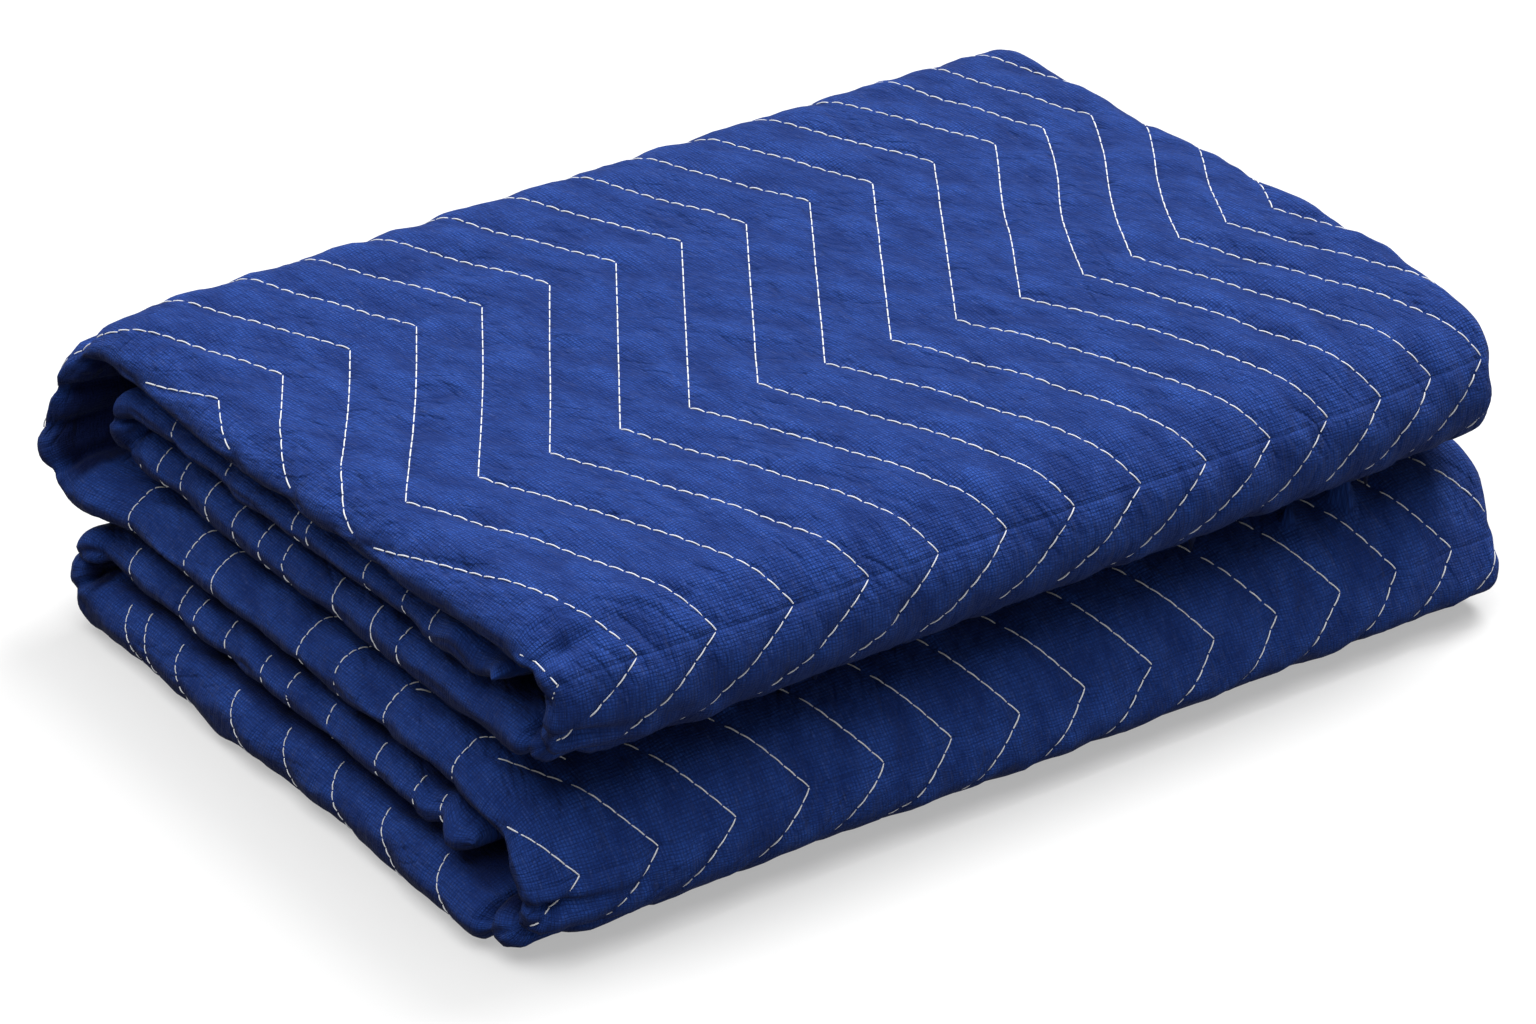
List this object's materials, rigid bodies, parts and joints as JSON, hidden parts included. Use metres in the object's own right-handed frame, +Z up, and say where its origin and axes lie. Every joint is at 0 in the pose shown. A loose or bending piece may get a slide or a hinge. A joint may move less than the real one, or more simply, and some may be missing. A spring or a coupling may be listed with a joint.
{
  "type": "folded moving blanket",
  "caption": "Quilted moving blanket with zigzag seams, folded back and forth into a flat pile that lies as two rolls, one on the other.",
  "frame": {"origin": "centre of the pile's footprint, on the surface it lies on", "axes": "+X along the folds, the long way of the pile; -Y towards the two thick front folds; +Z up"},
  "size_m": [0.457, 0.3324, 0.12],
  "materials": {
    "quilted cloth": "matt woven cotton, quilted with white thread"
  },
  "bodies": {
    "root": {"blanket": "quilted cloth"}
  },
  "joints": []
}
